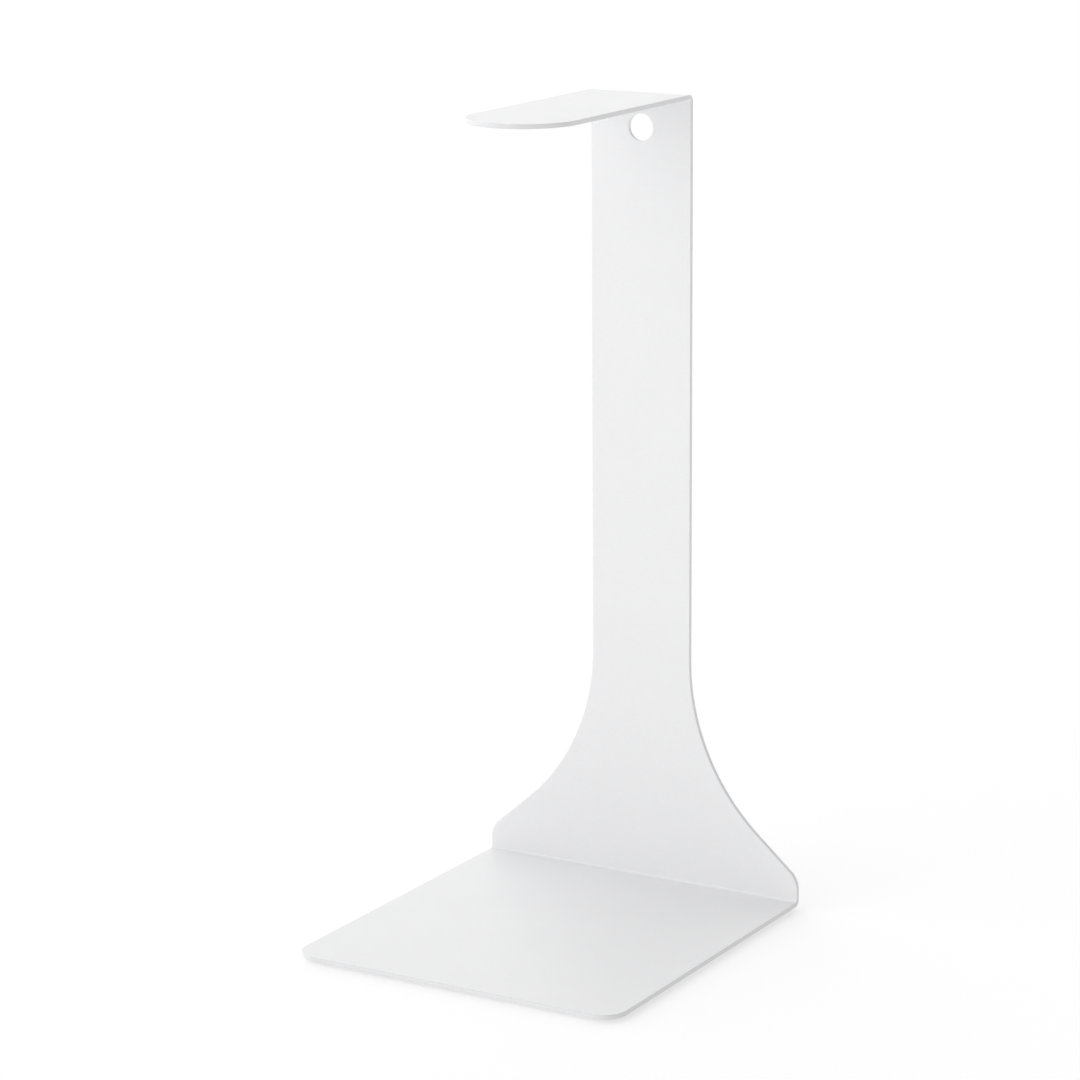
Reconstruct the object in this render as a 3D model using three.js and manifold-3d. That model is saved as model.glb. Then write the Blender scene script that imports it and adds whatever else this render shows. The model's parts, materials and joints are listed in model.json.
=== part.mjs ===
// Headphone stand: one sheet of steel cut to shape, folded twice and powder coated, standing on four
// self-adhesive anti-slip pads. The fold at the foot leads into a wide base plate, the fold at the top
// into the arm that carries the headband, and a round hole near the top passes the cable through.
//
// Millimetres, +Z up, the arm and the base point forwards along -Y. The origin is on the desk, under
// the middle of the stand's length and width.

import * as THREE from 'three';
import { mergeVertices } from 'three/addons/utils/BufferGeometryUtils.js';
import Module from 'manifold-3d';

const wasm = await Module();
wasm.setup();

// ---- Driving dimensions -------------------------------------------------------------------------

// The sheet
const STEEL_GAUGE = 1.6; // bare steel
const COAT_THICKNESS = 0.08; // powder coat, on each face
const BEND_INNER_RADIUS = 0.95; // inside of both folds, over the coat

// The base plate
const BASE_WIDTH = 133;
const BASE_DEPTH = 140; // back face of the upright to the front edge
const BASE_CORNER_RADIUS = 9; // the two front corners

// The upright and the arm
const SHEET_HEIGHT = 300; // underside of the base plate to the top of the arm
const UPRIGHT_WIDTH = 41.5; // the arm has the same width
const ARM_LENGTH = 104; // back face of the upright to the tip of the round nose

// The flare, where the upright widens into the base plate
const FLARE_RADIUS = 83.5; // hollow curve on each side
const FLARE_ANGLE = THREE.MathUtils.degToRad(49.3); // of the straight run below it, from vertical
const SHOULDER_HEIGHT = 10.5; // where the straight run would meet the base's side, over its underside
const SHOULDER_RADIUS = 9.7; // rounding of that corner

// The cable hole, on the middle line of the upright
const CABLE_HOLE_DIAMETER = 10;
const CABLE_HOLE_DROP = 12.9; // top of the arm to the middle of the hole

// The anti-slip pads
const PAD_DIAMETER = 12;
const PAD_HEIGHT = 1;
const PAD_EDGE_RADIUS = 0.5; // rounding where the pad meets the desk
const PAD_EDGE_MARGIN = 8; // rim of a pad to the edges of the base plate

// ---- Fineness of the round stretches, in flat steps ---------------------------------------------

const BEND_STEPS = 8;
const CORNER_STEPS = 10;
const FLARE_STEPS = 20;
const NOSE_STEPS = 36;
const HOLE_STEPS = 48;
const PAD_STEPS = 32;
const PAD_EDGE_STEPS = 3;

// ---- Sizes that follow from them ----------------------------------------------------------------

const SHEET = STEEL_GAUGE + 2 * COAT_THICKNESS;
const BEND_OUTER_RADIUS = BEND_INNER_RADIUS + SHEET;
const HALF_BASE = BASE_WIDTH / 2;
const HALF_UPRIGHT = UPRIGHT_WIDTH / 2;
const BACK = BASE_DEPTH / 2; // y of the upright's back face
const FRONT = BACK - BASE_DEPTH; // y of the base plate's front edge
const ARM_TIP = BACK - ARM_LENGTH; // y of the arm's nose
const PAD_RADIUS = PAD_DIAMETER / 2;
const CUT_OVERRUN = 5; // how far a cutting body reaches past what it cuts
const MERGE_DISTANCE = 1e-4; // vertices closer than this are one and the same

// ---- Materials ----------------------------------------------------------------------------------

function whitePowderCoat() {
  return new THREE.MeshStandardMaterial({ color: 0xeeeeef, roughness: 0.5, metalness: 0 });
}

function greyRubber() {
  return new THREE.MeshStandardMaterial({ color: 0x707274, roughness: 0.75, metalness: 0 });
}

// ---- Solids -------------------------------------------------------------------------------------

function toSolid(geometry) {
  const bare = geometry.clone();
  bare.deleteAttribute('normal');
  bare.deleteAttribute('uv');
  const merged = mergeVertices(bare, MERGE_DISTANCE);
  const vertProperties = new Float32Array(merged.attributes.position.array);
  const triVerts = new Uint32Array(merged.index.array);
  return new wasm.Manifold(new wasm.Mesh({ numProp: 3, vertProperties, triVerts }));
}

function toGeometry(solid) {
  const mesh = solid.getMesh();
  const geometry = new THREE.BufferGeometry();
  geometry.setAttribute('position', new THREE.BufferAttribute(mesh.vertProperties, 3));
  geometry.setIndex(new THREE.BufferAttribute(mesh.triVerts, 1));
  geometry.computeVertexNormals();
  return geometry;
}

function extruded(shape, depth) {
  return new THREE.ExtrudeGeometry(shape, { depth, bevelEnabled: false, curveSegments: 1 });
}

// A shape drawn with x across and y up, standing in the XZ plane from y = near to y = far.
function standing(shape, near, far) {
  return toSolid(extruded(shape, far - near).rotateX(Math.PI / 2).translate(0, far, 0));
}

// A shape drawn in plan, from z = low to z = high.
function lying(shape, low, high) {
  return toSolid(extruded(shape, high - low).translate(0, 0, low));
}

// A shape drawn with x forwards-to-back and y up, reaching half a width to each side of x = 0.
function crosswise(shape, halfWidth) {
  const geometry = extruded(shape, 2 * halfWidth).rotateX(Math.PI / 2).rotateZ(Math.PI / 2);
  return toSolid(geometry.translate(-halfWidth, 0, 0));
}

// Points along an arc, both ends included, with angles from the +x direction of the drawing.
function arcPoints(centreX, centreY, radius, from, to, steps) {
  const points = [];
  for (let i = 0; i <= steps; i += 1) {
    const angle = from + ((to - from) * i) / steps;
    points.push(new THREE.Vector2(centreX + radius * Math.cos(angle), centreY + radius * Math.sin(angle)));
  }
  return points;
}

function mirrored(points) {
  return points.map((p) => new THREE.Vector2(-p.x, p.y)).reverse();
}

// ---- The folded sheet ---------------------------------------------------------------------------

// The sheet seen from the side, z from the underside of the base plate: a C open towards the front.
function sideProfile() {
  const turn = Math.PI / 2;
  const front = FRONT - CUT_OVERRUN;
  const centreY = BACK - BEND_OUTER_RADIUS;
  const footZ = BEND_OUTER_RADIUS;
  const headZ = SHEET_HEIGHT - BEND_OUTER_RADIUS;
  return new THREE.Shape([
    new THREE.Vector2(front, 0),
    ...arcPoints(centreY, footZ, BEND_OUTER_RADIUS, -turn, 0, BEND_STEPS),
    ...arcPoints(centreY, headZ, BEND_OUTER_RADIUS, 0, turn, BEND_STEPS),
    new THREE.Vector2(front, SHEET_HEIGHT),
    new THREE.Vector2(front, SHEET_HEIGHT - SHEET),
    ...arcPoints(centreY, headZ, BEND_INNER_RADIUS, turn, 0, BEND_STEPS),
    ...arcPoints(centreY, footZ, BEND_INNER_RADIUS, 0, -turn, BEND_STEPS),
    new THREE.Vector2(front, SHEET),
  ]);
}

// The stand seen from the front: base width, rounded shoulders, straight run, hollow flare, upright.
function frontOutline() {
  const shoulderX = HALF_BASE - SHOULDER_RADIUS;
  const shoulderZ = SHOULDER_HEIGHT - SHOULDER_RADIUS * Math.tan(FLARE_ANGLE / 2);
  const shoulderTurn = Math.PI / 2 - FLARE_ANGLE;
  const shoulder = arcPoints(shoulderX, shoulderZ, SHOULDER_RADIUS, 0, shoulderTurn, CORNER_STEPS);

  // The flare's centre lies one radius outside the upright's edge and one radius above the straight run.
  const flareX = HALF_UPRIGHT + FLARE_RADIUS;
  const runBelowCentre = (flareX - HALF_BASE) / Math.tan(FLARE_ANGLE);
  const flareZ = SHOULDER_HEIGHT - runBelowCentre + FLARE_RADIUS / Math.sin(FLARE_ANGLE);
  const flare = arcPoints(flareX, flareZ, FLARE_RADIUS, Math.PI + FLARE_ANGLE, Math.PI, FLARE_STEPS);

  const rightEdge = [
    new THREE.Vector2(HALF_BASE, -CUT_OVERRUN),
    ...shoulder,
    ...flare,
    new THREE.Vector2(HALF_UPRIGHT, SHEET_HEIGHT + CUT_OVERRUN),
  ];
  return new THREE.Shape([...rightEdge, ...mirrored(rightEdge)]);
}

// The base plate in plan: square to the fold at the back, round corners at the front.
function basePlan() {
  const r = BASE_CORNER_RADIUS;
  const wide = HALF_BASE + CUT_OVERRUN;
  const frontRight = arcPoints(HALF_BASE - r, FRONT + r, r, -Math.PI / 2, 0, CORNER_STEPS);
  const rightEdge = [
    ...frontRight,
    new THREE.Vector2(wide, FRONT + r),
    new THREE.Vector2(wide, BACK + CUT_OVERRUN),
  ];
  return new THREE.Shape([...rightEdge, ...mirrored(rightEdge)]);
}

// The arm in plan: straight sides and a half-round nose.
function armPlan() {
  const wide = HALF_UPRIGHT + CUT_OVERRUN;
  const noseY = ARM_TIP + HALF_UPRIGHT;
  const nose = arcPoints(0, noseY, HALF_UPRIGHT, -Math.PI, 0, NOSE_STEPS);
  return new THREE.Shape([
    ...nose,
    new THREE.Vector2(wide, noseY),
    new THREE.Vector2(wide, BACK + CUT_OVERRUN),
    new THREE.Vector2(-wide, BACK + CUT_OVERRUN),
    new THREE.Vector2(-wide, noseY),
  ]);
}

function cableHole() {
  const centreZ = SHEET_HEIGHT - CABLE_HOLE_DROP;
  const rim = arcPoints(0, centreZ, CABLE_HOLE_DIAMETER / 2, 0, 2 * Math.PI, HOLE_STEPS).slice(0, -1);
  return standing(new THREE.Shape(rim), BACK - SHEET - CUT_OVERRUN, BACK + CUT_OVERRUN);
}

function foldedSheet() {
  const middleZ = SHEET_HEIGHT / 2;
  const strip = crosswise(sideProfile(), HALF_BASE + CUT_OVERRUN);
  const seenFromFront = standing(frontOutline(), FRONT - CUT_OVERRUN, BACK + CUT_OVERRUN);
  const lowerPlan = lying(basePlan(), -CUT_OVERRUN, middleZ);
  const upperPlan = lying(armPlan(), middleZ, SHEET_HEIGHT + CUT_OVERRUN);
  const sheet = strip.intersect(seenFromFront).intersect(lowerPlan.add(upperPlan)).subtract(cableHole());
  return new THREE.Mesh(toGeometry(sheet), whitePowderCoat());
}

// ---- The anti-slip pads -------------------------------------------------------------------------

// A low round pad with its flat sticky side up and a rounded rim towards the desk.
function antiSlipPad() {
  const edge = arcPoints(
    PAD_RADIUS - PAD_EDGE_RADIUS,
    PAD_EDGE_RADIUS,
    PAD_EDGE_RADIUS,
    -Math.PI / 2,
    0,
    PAD_EDGE_STEPS,
  );
  const profile = [
    new THREE.Vector2(0, 0),
    ...edge,
    new THREE.Vector2(PAD_RADIUS, PAD_HEIGHT),
    new THREE.Vector2(0, PAD_HEIGHT),
  ];
  const geometry = new THREE.LatheGeometry(profile, PAD_STEPS).rotateX(Math.PI / 2);
  return new THREE.Mesh(toGeometry(toSolid(geometry)), greyRubber());
}

// ---- The stand ----------------------------------------------------------------------------------

const stand = new THREE.Group();

const body = foldedSheet();
body.name = 'folded_sheet_body';
body.position.z = PAD_HEIGHT;
stand.add(body);

const padX = HALF_BASE - PAD_EDGE_MARGIN - PAD_RADIUS;
const padY = BACK - PAD_EDGE_MARGIN - PAD_RADIUS;
for (const [end, y] of [['front', -padY], ['back', padY]]) {
  for (const [side, x] of [['left', -padX], ['right', padX]]) {
    const pad = antiSlipPad();
    pad.name = `anti_slip_pad_${end}_${side}`;
    pad.position.set(x, y, 0);
    stand.add(pad);
  }
}

export default stand;
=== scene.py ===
"""Headphone stand folded from one sheet of powder-coated steel, on four anti-slip pads. Metres, +Z up."""

import json
import math

import bmesh
import bpy
from mathutils import Matrix, Vector


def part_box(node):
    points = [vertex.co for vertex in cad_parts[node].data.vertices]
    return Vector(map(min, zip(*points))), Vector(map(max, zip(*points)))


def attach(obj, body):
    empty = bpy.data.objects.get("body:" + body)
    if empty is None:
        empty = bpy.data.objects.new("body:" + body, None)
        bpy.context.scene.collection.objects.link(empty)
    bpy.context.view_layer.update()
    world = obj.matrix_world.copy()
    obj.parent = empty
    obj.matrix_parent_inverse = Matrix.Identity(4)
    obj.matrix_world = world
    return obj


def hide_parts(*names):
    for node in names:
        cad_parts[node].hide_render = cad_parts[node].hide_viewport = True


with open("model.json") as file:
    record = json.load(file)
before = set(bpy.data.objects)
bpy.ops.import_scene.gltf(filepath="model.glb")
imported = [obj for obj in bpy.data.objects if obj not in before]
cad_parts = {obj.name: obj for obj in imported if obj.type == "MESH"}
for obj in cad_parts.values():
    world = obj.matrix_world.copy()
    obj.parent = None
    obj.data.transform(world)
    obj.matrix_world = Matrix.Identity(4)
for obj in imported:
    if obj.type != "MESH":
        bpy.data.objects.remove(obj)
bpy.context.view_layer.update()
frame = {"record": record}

# ---- What the frame says ------------------------------------------------------------------------

SHEET_NODE = "folded_sheet_body"
PAD_NODES = [s["node"] for s in frame["record"]["subparts"] if s["node"] != SHEET_NODE]

SHEET_LOW, SHEET_HIGH = (Vector(corner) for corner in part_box(SHEET_NODE))
BACK = SHEET_HIGH.y
FRONT = SHEET_LOW.y
UNDERSIDE = SHEET_LOW.z
ARM_TOP = SHEET_HIGH.z
HALF_BASE = SHEET_HIGH.x

TOUCH = 1e-6  # closer than this, two points are the same place

# ---- Sizes of the folded sheet ------------------------------------------------------------------

SHEET = 0.00176
FOLD_OUTER_RADIUS = 0.00271
BASE_CORNER_RADIUS = 0.009
HALF_UPRIGHT = 0.02075
ARM_LENGTH = 0.104
FLARE_RADIUS = 0.0835
FLARE_ANGLE = math.radians(49.3)
SHOULDER_HEIGHT = 0.0105
SHOULDER_RADIUS = 0.0097
HOLE_RADIUS = 0.005
HOLE_DROP = 0.0129
CUT_EDGE_ROUNDING = 0.00028

# ---- Sizes of the anti-slip pads ----------------------------------------------------------------

ADHESIVE = 0.00015
ADHESIVE_SETBACK = 0.0003
PAD_RIM_ROUNDING = 0.0005
GROOVE_FROM_RIM = 0.0012
GROOVE_WIDTH = 0.0007
GROOVE_DEPTH = 0.0002

# ---- Fineness of the round stretches ------------------------------------------------------------

FOLD_STEPS = 12
CORNER_STEPS = 14
SHOULDER_STEPS = 10
FLARE_STEPS = 36
NOSE_STEPS = 28
HOLE_SIDE_STEPS = 16
ROUNDING_STEPS = 3
PAD_STEPS = 64
PAD_RIM_STEPS = 4

SHEET_SHARP_ANGLE = math.radians(50)  # an edge of the sheet that is sharper was cut, and gets rounded
PAD_SMOOTH_ANGLE = math.radians(40)  # a pad's edge that is blunter is shaded smooth

# ---- Camera -------------------------------------------------------------------------------------

AZIMUTH = math.radians(30.71)
ELEVATION = math.radians(13.62)
ROLL = math.radians(-0.39)
LENS_MM = 124.46
SENSOR_MM = 36.0
DISTANCE = 1.41725
FARTHEST_SEEN = 100
AIM = Vector((-0.04473, BACK, UNDERSIDE + 0.12718))


def make_camera():
    """The camera looks down on the stand from its front right corner."""
    back = Vector((
        math.sin(AZIMUTH) * math.cos(ELEVATION),
        -math.cos(AZIMUTH) * math.cos(ELEVATION),
        math.sin(ELEVATION),
    ))
    level = Vector((math.cos(AZIMUTH), math.sin(AZIMUTH), 0))
    upright = back.cross(level)
    right = math.cos(ROLL) * level + math.sin(ROLL) * upright
    up = math.cos(ROLL) * upright - math.sin(ROLL) * level
    turned = Matrix((right, up, back)).transposed().to_4x4()
    data = bpy.data.cameras.new("camera")
    data.lens = LENS_MM
    data.sensor_width = SENSOR_MM
    data.clip_end = FARTHEST_SEEN
    camera = bpy.data.objects.new("camera", data)
    camera.matrix_world = Matrix.Translation(AIM + DISTANCE * back) @ turned
    bpy.context.scene.collection.objects.link(camera)
    bpy.context.scene.camera = camera


make_camera()


# ---- Bench tools --------------------------------------------------------------------------------

def put_all_down():
    """Leaves edit mode and leaves nothing selected."""
    if bpy.context.object and bpy.context.object.mode != "OBJECT":
        bpy.ops.object.mode_set(mode="OBJECT")
    bpy.ops.object.select_all(action="DESELECT")


def take_up(piece):
    """Selects one piece and makes it the one that operators and modifiers act on."""
    put_all_down()
    bpy.context.view_layer.objects.active = piece
    piece.select_set(True)


def start_editing(name):
    """Names the primitive that was just added and opens it in edit mode."""
    piece = bpy.context.object
    piece.name = name
    piece.data.name = name
    bpy.ops.object.mode_set(mode="EDIT")
    return piece


def pick(kind, test):
    """Selects the verts, edges or faces that lie wholly where the test says, and nothing else."""
    bpy.ops.mesh.select_all(action="DESELECT")
    bpy.ops.mesh.select_mode(type={"verts": "VERT", "edges": "EDGE", "faces": "FACE"}[kind])
    piece = bpy.context.object
    mesh = bmesh.from_edit_mesh(piece.data)
    place = piece.matrix_world
    for item in getattr(mesh, kind):
        corners = [item] if kind == "verts" else item.verts
        if all(test(place @ v.co) for v in corners):
            item.select_set(True)
    mesh.select_flush_mode()
    bmesh.update_edit_mesh(piece.data)


def near(a, b):
    return abs(a - b) < TOUCH


def finish_with(piece, kind, **settings):
    """Adds a modifier, sets it and applies it."""
    modifier = piece.modifiers.new(kind.lower(), kind)
    for key, value in settings.items():
        setattr(modifier, key, value)
    bpy.ops.object.modifier_apply(modifier=modifier.name)


def settle(piece):
    """Puts a finished piece's place into its mesh and leaves nothing selected."""
    bpy.ops.object.mode_set(mode="OBJECT")
    bpy.ops.object.transform_apply(location=True, rotation=True, scale=True)
    put_all_down()


# ---- Finishes -----------------------------------------------------------------------------------

NOISE_LOW, NOISE_HIGH = 0.3, 0.7  # a noise seldom leaves this stretch


class Finish:
    """A material with one Principled shader, and shorthand for the nodes that feed it."""

    def __init__(self, name, **sockets):
        self.material = bpy.data.materials.new(name)
        self.material.use_nodes = True
        self.nodes = self.material.node_tree.nodes
        self.links = self.material.node_tree.links
        self.shader = self.nodes["Principled BSDF"]
        for socket, value in sockets.items():
            self.shader.inputs[socket.replace("_", " ")].default_value = value
        self.place = self.nodes.new("ShaderNodeTexCoord").outputs["Object"]

    def join(self, output, socket):
        self.links.new(output, socket)

    def grain(self, size, detail=2):
        """Noise whose grains are about size metres across."""
        mapping = self.nodes.new("ShaderNodeMapping")
        mapping.vector_type = "TEXTURE"
        mapping.inputs["Scale"].default_value = (size, size, size)
        noise = self.nodes.new("ShaderNodeTexNoise")
        noise.inputs["Scale"].default_value = 1
        noise.inputs["Detail"].default_value = detail
        self.join(self.place, mapping.inputs["Vector"])
        self.join(mapping.outputs["Vector"], noise.inputs["Vector"])
        return noise.outputs["Fac"]

    def spread(self, value, low, high):
        """Stretches the middle of a noise over low to high."""
        span = self.nodes.new("ShaderNodeMapRange")
        span.inputs["From Min"].default_value = NOISE_LOW
        span.inputs["From Max"].default_value = NOISE_HIGH
        span.inputs["To Min"].default_value = low
        span.inputs["To Max"].default_value = high
        self.join(value, span.inputs["Value"])
        return span.outputs["Result"]

    def mix(self, factor, one, other):
        """A colour that goes from one to the other as factor goes from 0 to 1."""
        blend = self.nodes.new("ShaderNodeMix")
        blend.data_type = "RGBA"
        blend.inputs["A"].default_value = (*one, 1)
        blend.inputs["B"].default_value = (*other, 1)
        self.join(factor, blend.inputs["Factor"])
        return blend.outputs["Result"]

    def scaled(self, colour, amount):
        """A colour made darker where amount is below 1 and lighter where it is above."""
        product = self.nodes.new("ShaderNodeVectorMath")
        product.operation = "SCALE"
        self.join(colour, product.inputs[0])
        self.join(amount, product.inputs["Scale"])
        return product.outputs["Vector"]

    def relief(self, height, metres, below=None):
        """A bump as high as metres where height goes from 0 to 1, on top of the one below."""
        bump = self.nodes.new("ShaderNodeBump")
        bump.inputs["Distance"].default_value = metres
        self.join(height, bump.inputs["Height"])
        if below is not None:
            self.join(below, bump.inputs["Normal"])
        return bump.outputs["Normal"]


COAT_WHITE = (0.862, 0.863, 0.871)
COAT_THIN_WHITE = (0.852, 0.853, 0.861)
# cut-edge whites: greyer than the face coat, partly from the thin coat and partly painted shade
COAT_EDGE_THIN_AND_SHADED_WHITE = (0.80, 0.801, 0.809)
COAT_EDGE_THINNER_AND_SHADED_WHITE = (0.78, 0.781, 0.789)
PEEL_SIZE = 0.0014
PEEL_HEIGHT = 0.00003
SAND_SIZE = 0.00042
SAND_HEIGHT = 0.000014
CUT_MARK_SIZE = 0.0005
CUT_MARK_HEIGHT = 0.000014


def powder_coat():
    """Satin-matt white powder coat: slow change of film thickness, orange peel and a fine sandy grain."""
    coat = Finish("powder_coat_white", IOR=1.5)
    film = coat.spread(coat.grain(0.035), 0, 1)
    tone = coat.mix(film, COAT_WHITE, COAT_THIN_WHITE)
    sand = coat.grain(SAND_SIZE)
    speckle = coat.spread(sand, 0.985, 1.015)
    coat.join(coat.scaled(tone, speckle), coat.shader.inputs["Base Color"])
    coat.join(coat.spread(coat.grain(0.004, detail=4), 0.42, 0.54), coat.shader.inputs["Roughness"])
    peel = coat.relief(coat.grain(PEEL_SIZE, detail=1), PEEL_HEIGHT)
    coat.join(coat.relief(sand, SAND_HEIGHT, below=peel), coat.shader.inputs["Normal"])
    return coat.material


def powder_coat_on_cut_edge_with_painted_shade():
    """The same coat on the laser-cut edge, where it pulls thin and flows smoother; its greyer colour is
    partly the thin coat and partly painted shade that darkens every cut edge.
    """
    coat = Finish("powder_coat_cut_edge_painted_shade", IOR=1.5)
    film = coat.spread(coat.grain(0.006), 0, 1)
    # greyer cut-edge colour: partly thin coat, partly painted shade
    coat.join(coat.mix(film, COAT_EDGE_THIN_AND_SHADED_WHITE, COAT_EDGE_THINNER_AND_SHADED_WHITE), coat.shader.inputs["Base Color"])
    coat.join(coat.spread(coat.grain(0.002), 0.36, 0.46), coat.shader.inputs["Roughness"])
    marks = coat.relief(coat.grain(CUT_MARK_SIZE, detail=1), CUT_MARK_HEIGHT)
    coat.join(marks, coat.shader.inputs["Normal"])
    return coat.material


RUBBER_GREY = (0.15, 0.152, 0.156)
RUBBER_DUSTY_GREY = (0.19, 0.192, 0.195)
RUBBER_GRAIN_SIZE = 0.0003
RUBBER_GRAIN_HEIGHT = 0.00003


def rubber():
    """Soft matt grey rubber with a moulded grain and a little dust in it."""
    pad = Finish("pad_rubber_grey", IOR=1.52)
    mottle = pad.spread(pad.grain(0.002, detail=4), 0, 1)
    pad.join(pad.mix(mottle, RUBBER_GREY, RUBBER_DUSTY_GREY), pad.shader.inputs["Base Color"])
    pad.join(pad.spread(pad.grain(0.0008), 0.68, 0.84), pad.shader.inputs["Roughness"])
    pad.join(pad.relief(pad.grain(RUBBER_GRAIN_SIZE), RUBBER_GRAIN_HEIGHT), pad.shader.inputs["Normal"])
    return pad.material


FILM_MILKY = (0.46, 0.46, 0.44)
FILM_MILKIER = (0.55, 0.55, 0.53)


def adhesive_film():
    """The milky film that holds a pad to the base plate."""
    film = Finish("pad_adhesive_film", IOR=1.47)
    haze = film.spread(film.grain(0.0015), 0, 1)
    film.join(film.mix(haze, FILM_MILKY, FILM_MILKIER), film.shader.inputs["Base Color"])
    film.join(film.spread(film.grain(0.0006), 0.25, 0.4), film.shader.inputs["Roughness"])
    return film.material


FLOOR_GLOW = 0.35
FLOOR_WHITE = (0.695, 0.695, 0.695)
FLOOR_BRIGHTER_WHITE = (0.705, 0.705, 0.705)


def floor_white():
    """Plain white acrylic table top that is lit a little from below."""
    floor = Finish("studio_floor_white", IOR=1.4, Emission_Strength=FLOOR_GLOW)
    floor.shader.inputs["Emission Color"].default_value = (1, 1, 1, 1)
    tone = floor.spread(floor.grain(0.6), 0, 1)
    floor.join(floor.mix(tone, FLOOR_WHITE, FLOOR_BRIGHTER_WHITE), floor.shader.inputs["Base Color"])
    floor.join(floor.spread(floor.grain(0.3), 0.85, 0.95), floor.shader.inputs["Roughness"])
    return floor.material


# ---- The folded sheet ---------------------------------------------------------------------------

FOLD_Y = BACK - FOLD_OUTER_RADIUS
FOOT_FOLD_Z = UNDERSIDE + FOLD_OUTER_RADIUS
HEAD_FOLD_Z = ARM_TOP - FOLD_OUTER_RADIUS
HOLE_Z = ARM_TOP - HOLE_DROP
HOLE_PATCH = 0.0075  # half the side of the square patch that the hole is opened in
ARM_TIP = BACK - ARM_LENGTH


def flare_outline():
    """Half widths and heights of the sheet from the foot fold up to where the upright is straight."""
    shoulder_x = HALF_BASE - SHOULDER_RADIUS
    shoulder_z = UNDERSIDE + SHOULDER_HEIGHT - SHOULDER_RADIUS * math.tan(FLARE_ANGLE / 2)
    outline = []
    for i in range(SHOULDER_STEPS + 1):
        angle = (math.pi / 2 - FLARE_ANGLE) * i / SHOULDER_STEPS
        x = shoulder_x + SHOULDER_RADIUS * math.cos(angle)
        outline.append((x, shoulder_z + SHOULDER_RADIUS * math.sin(angle)))

    flare_x = HALF_UPRIGHT + FLARE_RADIUS
    below = (flare_x - HALF_BASE) / math.tan(FLARE_ANGLE)
    flare_z = UNDERSIDE + SHOULDER_HEIGHT - below + FLARE_RADIUS / math.sin(FLARE_ANGLE)
    for i in range(FLARE_STEPS + 1):
        angle = FLARE_ANGLE * (1 - i / FLARE_STEPS)
        x = flare_x - FLARE_RADIUS * math.cos(angle)
        outline.append((x, flare_z - FLARE_RADIUS * math.sin(angle)))
    return outline


def fold(centre_z):
    """Sweeps the selected edge a quarter turn round a fold's middle line."""
    bpy.ops.mesh.spin(
        steps=FOLD_STEPS,
        angle=math.pi / 2,
        center=(0, FOLD_Y, centre_z),
        axis=(-1, 0, 0),
    )


def pull_up(height):
    bpy.ops.mesh.extrude_region_move(TRANSFORM_OT_translate={"value": (0, 0, height)})


def pull_forward(length):
    bpy.ops.mesh.extrude_region_move(TRANSFORM_OT_translate={"value": (0, -length, 0)})


def scale_width(factor):
    bpy.ops.transform.resize(value=(factor, 1, 1), center_override=(0, 0, 0))


def lay_out_sheet():
    """One sheet: base plate, foot fold, flare, upright, head fold and round-nosed arm."""
    put_all_down()
    depth = FOLD_Y - FRONT
    bpy.ops.mesh.primitive_plane_add(size=1, location=(0, FRONT + depth / 2, UNDERSIDE))
    piece = start_editing("folded_sheet")
    bpy.ops.transform.resize(value=(2 * HALF_BASE, depth, 1))

    pick("verts", lambda p: near(p.y, FRONT))
    bpy.ops.mesh.bevel(offset=BASE_CORNER_RADIUS, segments=CORNER_STEPS, affect="VERTICES")

    pick("edges", lambda p: near(p.y, FOLD_Y))
    fold(FOOT_FOLD_Z)
    height, half_width = FOOT_FOLD_Z, HALF_BASE
    pick("edges", lambda p: near(p.z, FOOT_FOLD_Z) and near(p.y, BACK))
    for next_half_width, next_height in flare_outline():
        pull_up(next_height - height)
        scale_width(next_half_width / half_width)
        height, half_width = next_height, next_half_width
    for next_height in (HOLE_Z - HOLE_PATCH, HOLE_Z + HOLE_PATCH, HEAD_FOLD_Z):
        pull_up(next_height - height)
        height = next_height
    fold(HEAD_FOLD_Z)
    pick("edges", lambda p: near(p.z, ARM_TOP) and near(p.y, FOLD_Y))
    pull_forward(FOLD_Y - ARM_TIP)
    pick("verts", lambda p: near(p.z, ARM_TOP) and near(p.y, ARM_TIP))
    bpy.ops.mesh.bevel(offset=HALF_UPRIGHT, segments=NOSE_STEPS, affect="VERTICES")
    return piece


def cut_cable_hole():
    """Opens a square patch of the upright and bridges it to the round hole."""
    def in_patch(p):
        beside = abs(p.x) < HOLE_PATCH + TOUCH
        level = abs(p.z - HOLE_Z) < HOLE_PATCH + TOUCH
        return near(p.y, BACK) and beside and level

    for side in (-1, 1):
        pick("faces", lambda p: near(p.y, BACK) and abs(p.z - HOLE_Z) < HOLE_PATCH + TOUCH)
        bpy.ops.mesh.bisect(plane_co=(side * HOLE_PATCH, 0, 0), plane_no=(1, 0, 0))
    pick("faces", in_patch)
    bpy.ops.mesh.delete(type="ONLY_FACE")
    pick("edges", in_patch)
    bpy.ops.mesh.subdivide(number_cuts=HOLE_SIDE_STEPS - 1)
    bpy.ops.mesh.primitive_circle_add(
        vertices=4 * HOLE_SIDE_STEPS,
        radius=HOLE_RADIUS,
        location=(0, BACK, HOLE_Z),
        rotation=(math.pi / 2, 0, 0),
    )
    pick("edges", in_patch)
    bpy.ops.mesh.bridge_edge_loops()


def turn_outwards(piece):
    """Faces the open sheet towards its underside, back and top, so that it can be thickened inwards."""
    bpy.ops.mesh.select_all(action="SELECT")
    bpy.ops.mesh.remove_doubles(threshold=TOUCH)
    bpy.ops.mesh.normals_make_consistent(inside=False)
    mesh = bmesh.from_edit_mesh(piece.data)
    base_plate = min(mesh.faces, key=lambda face: face.calc_center_median().z)
    if base_plate.normal.z > 0:
        bpy.ops.mesh.flip_normals()


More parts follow.
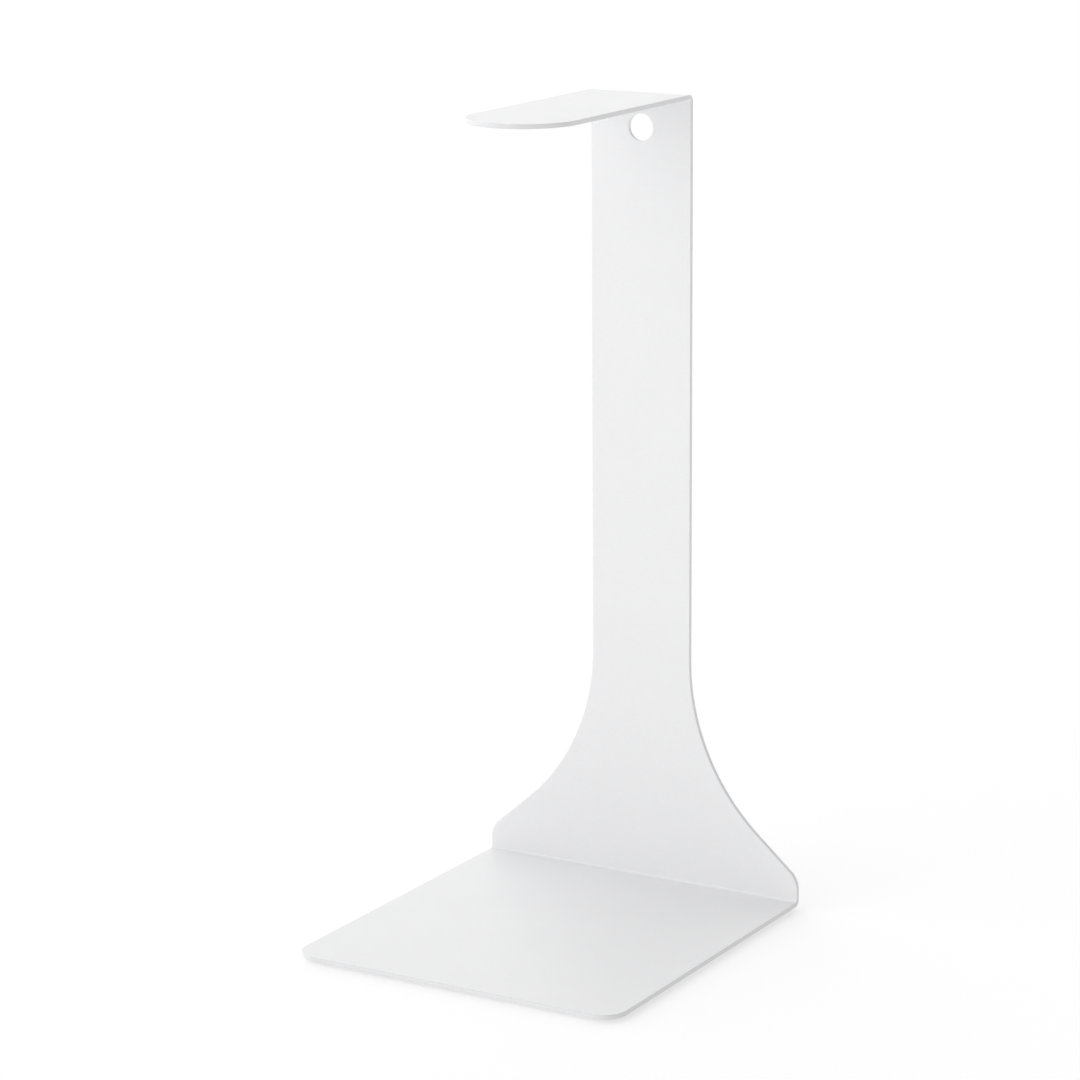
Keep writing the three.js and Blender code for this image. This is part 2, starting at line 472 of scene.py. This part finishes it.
def make_body():
    piece = lay_out_sheet()
    cut_cable_hole()
    turn_outwards(piece)
    settle(piece)
    piece.data.materials.append(powder_coat())
    # the rim faces that Solidify makes take the cut-edge coat, whose grey is partly painted shade
    piece.data.materials.append(powder_coat_on_cut_edge_with_painted_shade())
    take_up(piece)
    finish_with(
        piece,
        "SOLIDIFY",
        thickness=SHEET,
        offset=-1,
        use_even_offset=True,
        material_offset_rim=1,
    )
    finish_with(
        piece,
        "BEVEL",
        width=CUT_EDGE_ROUNDING,
        segments=ROUNDING_STEPS,
        limit_method="ANGLE",
        angle_limit=SHEET_SHARP_ANGLE,
        use_clamp_overlap=False,
    )
    bpy.ops.object.shade_smooth()
    finish_with(piece, "WEIGHTED_NORMAL", mode="FACE_AREA", weight=50)
    return piece


# ---- The anti-slip pads -------------------------------------------------------------------------

def make_pad(node):
    """A round pad with a rounded rim and a shallow ring groove, on its thin film of adhesive."""
    low, high = (Vector(corner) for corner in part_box(node))
    middle = (low + high) / 2
    radius = (high.x - low.x) / 2
    rubber_top = high.z - ADHESIVE
    put_all_down()
    bpy.ops.mesh.primitive_cylinder_add(
        vertices=PAD_STEPS,
        radius=radius,
        depth=rubber_top - low.z,
        location=(middle.x, middle.y, (rubber_top + low.z) / 2),
    )
    piece = start_editing("pad_" + node.removeprefix("anti_slip_pad_"))
    piece.data.materials.append(rubber())
    piece.data.materials.append(adhesive_film())

    # the rim that meets the desk
    pick("edges", lambda p: near(p.z, low.z))
    bpy.ops.mesh.bevel(offset=PAD_RIM_ROUNDING, segments=PAD_RIM_STEPS, affect="EDGES")

    # a moulded groove, a step in from the rim
    pick("faces", lambda p: near(p.z, low.z))
    bpy.ops.mesh.inset(thickness=GROOVE_FROM_RIM)
    bpy.ops.mesh.inset(thickness=GROOVE_WIDTH / 2, depth=-GROOVE_DEPTH)
    bpy.ops.mesh.inset(thickness=GROOVE_WIDTH / 2, depth=GROOVE_DEPTH)

    # the adhesive film, cut a little smaller than the pad
    pick("faces", lambda p: near(p.z, rubber_top))
    bpy.ops.mesh.inset(thickness=ADHESIVE_SETBACK)
    pull_up(ADHESIVE)
    film_radius = radius - ADHESIVE_SETBACK
    pick("faces", lambda p: p.z > rubber_top - TOUCH and (p.xy - middle.xy).length < film_radius + TOUCH)
    piece.active_material_index = 1
    bpy.ops.object.material_slot_assign()
    settle(piece)
    take_up(piece)
    bpy.ops.object.shade_smooth_by_angle(angle=PAD_SMOOTH_ANGLE)
    return piece


def copy_pad(pad, from_node, to_node):
    """A copy of the finished pad with its own mesh, moved to another pad's place."""
    step = Vector(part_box(to_node)[0]) - Vector(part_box(from_node)[0])
    take_up(pad)
    bpy.ops.object.duplicate_move(TRANSFORM_OT_translate={"value": step})
    piece = bpy.context.object
    piece.name = "pad_" + to_node.removeprefix("anti_slip_pad_")
    piece.data.name = piece.name
    bpy.ops.object.transform_apply(location=True, rotation=True, scale=True)
    return piece


# ---- The studio ---------------------------------------------------------------------------------

FLOOR_RADIUS = 14
FLOOR_SIDES = 96


def make_floor():
    put_all_down()
    bpy.ops.mesh.primitive_circle_add(vertices=FLOOR_SIDES, radius=FLOOR_RADIUS, fill_type="NGON")
    floor = start_editing("studio_floor")
    settle(floor)
    floor.data.materials.append(floor_white())


LIGHT_ALL_ROUND = 0.46
SOFT_LIGHTS = {  # the way each broad light or dark card lies from the stand, and what it adds
    "left": ((-1, 0, 0), 1.20),
    "dark card on the right": ((1, 0, 0), -0.30),
    "front": ((0, -1, 0), 0.56),
    "back": ((0, 1, 0), 0.67),
}


def light_studio():
    """A white light tent: broad soft light from the left, front and back, and a dark card on the right."""
    world = bpy.data.worlds.new("studio")
    world.use_nodes = True
    nodes = world.node_tree.nodes
    links = world.node_tree.links
    direction = nodes.new("ShaderNodeTexCoord").outputs["Generated"]
    total = None  # the light all round, and then what each broad light or card adds to it in turn
    for name, (way, strength) in SOFT_LIGHTS.items():
        facing = nodes.new("ShaderNodeVectorMath")
        facing.label = name
        facing.operation = "DOT_PRODUCT"
        facing.inputs[1].default_value = way
        lit = nodes.new("ShaderNodeMath")
        lit.operation = "MAXIMUM"
        lit.inputs[1].default_value = 0
        add = nodes.new("ShaderNodeMath")
        add.operation = "MULTIPLY_ADD"
        add.inputs[1].default_value = strength
        add.inputs[2].default_value = LIGHT_ALL_ROUND
        links.new(direction, facing.inputs[0])
        links.new(facing.outputs["Value"], lit.inputs[0])
        links.new(lit.outputs["Value"], add.inputs[0])
        if total is not None:
            links.new(total, add.inputs[2])
        total = add.outputs["Value"]
    sky = nodes["Background"]
    sky.inputs["Color"].default_value = (1, 1, 1, 1)
    links.new(total, sky.inputs["Strength"])
    bpy.context.scene.world = world
    bpy.context.scene.view_settings.view_transform = "Standard"


# ---- Assembly -----------------------------------------------------------------------------------

sheet = make_body()
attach(sheet, "root")
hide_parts(SHEET_NODE)

# the pads are all made before any is marked, because a copy would take the first one's marks with it
first_node, *other_nodes = PAD_NODES
pads = {first_node: make_pad(first_node)}
for node in other_nodes:
    pads[node] = copy_pad(pads[first_node], first_node, node)
for node, pad in pads.items():
    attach(pad, "root")
    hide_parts(node)
put_all_down()

make_floor()
light_studio()
